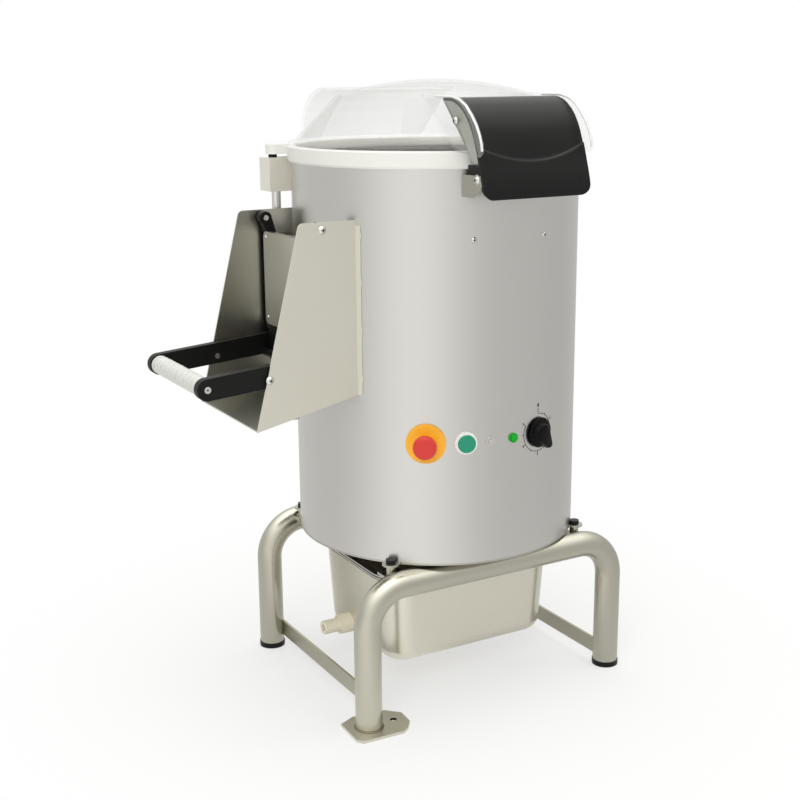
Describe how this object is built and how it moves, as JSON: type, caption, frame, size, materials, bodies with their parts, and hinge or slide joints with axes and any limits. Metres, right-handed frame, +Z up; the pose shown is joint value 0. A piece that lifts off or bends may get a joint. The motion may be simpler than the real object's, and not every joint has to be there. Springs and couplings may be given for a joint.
{
  "type": "potato peeling machine",
  "caption": "Upright drum peeler on a tube stand, with clear hinged lid, side chute with clamped door, turning abrasive disc, push buttons, timer knob and a slide-out pan.",
  "frame": {"origin": "on the drum axis at floor level, midway between the four feet", "axes": "+Z up, -Y towards the control panel (front), -X towards the discharge chute (left), +X right"},
  "size_m": [0.676, 0.5415, 0.931],
  "materials": {
    "brushed_stainless": "brushed",
    "stand_stainless": "satin",
    "pan_stainless": "satin",
    "bright_fasteners": "polished",
    "black_plastic": "matt moulded",
    "door_black": "matt moulded",
    "white_plastic": "satin moulded",
    "cream_plastic": "moulded",
    "clear_plastic": "clear",
    "abrasive": "coarse grit",
    "cast_aluminium": "as cast",
    "motor_paint": "gloss paint",
    "grey_box": "moulded",
    "yellow_plate": "moulded",
    "red_button": "moulded",
    "green_cap": "moulded",
    "green_lamp": "translucent"
  },
  "bodies": {
    "machine": {"abrasive_liner": "abrasive", "cable_gland": "black_plastic", "casing_screws": "bright_fasteners", "chamber_floor": "brushed_stainless", "chute_floor": "brushed_stainless", "chute_plate_far": "brushed_stainless", "chute_plate_near": "brushed_stainless", "conduit_clip": "bright_fasteners", "drive_housing": "brushed_stainless", "drum_base": "brushed_stainless", "drum_posts": "stand_stainless", "drum_wall": "brushed_stainless", "electrics_box": "grey_box", "foot_caps": "black_plastic", "foot_plate": "stand_stainless", "front_frame": "stand_stainless", "gearbox": "cast_aluminium", "hinge_brackets": "brushed_stainless", "hinge_pins": "bright_fasteners", "lamp_base": "bright_fasteners", "lamp_lens": "green_lamp", "motor": "motor_paint", "motor_fan_cover": "black_plastic", "outlet_frame": "brushed_stainless", "pan_rails": "stand_stainless", "pivot_screws": "bright_fasteners", "post_nuts": "black_plastic", "rear_frame": "stand_stainless", "reset_base": "bright_fasteners", "rim_ring": "white_plastic", "shaft_seal": "black_plastic", "side_bars": "stand_stainless", "start_base": "black_plastic", "stop_base": "yellow_plate", "switch_box": "brushed_stainless", "switch_conduit": "bright_fasteners", "switch_screw": "black_plastic", "timer_base": "black_plastic", "waste_pipe": "brushed_stainless", "water_inlet": "bright_fasteners"},
    "lid": {"lid_shell": "clear_plastic", "hinge_block": "black_plastic", "hinge_ends": "grey_box", "lid_screws": "bright_fasteners"},
    "door": {"door_body": "door_black", "door_panel": "brushed_stainless", "door_screws": "bright_fasteners"},
    "lever": {"lever_arms": "door_black", "lever_grip": "white_plastic", "lever_screws": "bright_fasteners"},
    "rotor": {"drive_shaft": "bright_fasteners", "disc_plate": "cast_aluminium", "disc_grit": "abrasive", "disc_nut": "door_black"},
    "stop_mushroom": {"stop_button": "red_button"},
    "start_cap": {"start_button": "green_cap"},
    "reset_pin": {"reset_button": "bright_fasteners"},
    "timer_dial": {"timer_knob": "black_plastic"},
    "collecting_pan": {"pan": "pan_stainless", "pan_spigot": "cream_plastic"}
  },
  "joints": [
    {"name": "lid_hinge", "type": "hinge", "parent": "machine", "child": "lid", "pos_m": [0, -0.243, 0.8005], "axis": [1, 0, 0], "range_deg": [0, 85]},
    {"name": "door_hinge", "type": "hinge", "parent": "machine", "child": "door", "pos_m": [-0.2445, 0, 0.731], "axis": [0, 1, 0], "range_deg": [0, 60]},
    {"name": "lever_pivot", "type": "hinge", "parent": "machine", "child": "lever", "pos_m": [-0.33, 0, 0.529], "axis": [0, 1, 0], "range_deg": [0, 24]},
    {"name": "disc_spin", "type": "hinge", "parent": "machine", "child": "rotor", "pos_m": [0, 0, 0.5], "axis": [0, 0, 1], "continuous": true},
    {"name": "stop_press", "type": "slide", "parent": "machine", "child": "stop_mushroom", "axis": [0.5693, 0.8221, 0], "range_m": [0, 0.004]},
    {"name": "start_press", "type": "slide", "parent": "machine", "child": "start_cap", "axis": [0.3355, 0.9421, 0], "range_m": [0, 0.003], "stiffness_N_per_m": 400},
    {"name": "reset_press", "type": "slide", "parent": "machine", "child": "reset_pin", "axis": [0.1736, 0.9848, 0], "range_m": [0, 0.0015], "stiffness_N_per_m": 300},
    {"name": "timer_turn", "type": "hinge", "parent": "machine", "child": "timer_dial", "pos_m": [0.04904, -0.21241, 0.426], "axis": [0.225, -0.9744, 0], "range_deg": [-160, 140]},
    {"name": "pan_slide", "type": "slide", "parent": "machine", "child": "collecting_pan", "axis": [-1, 0, 0], "range_m": [0, 0.33]}
  ]
}
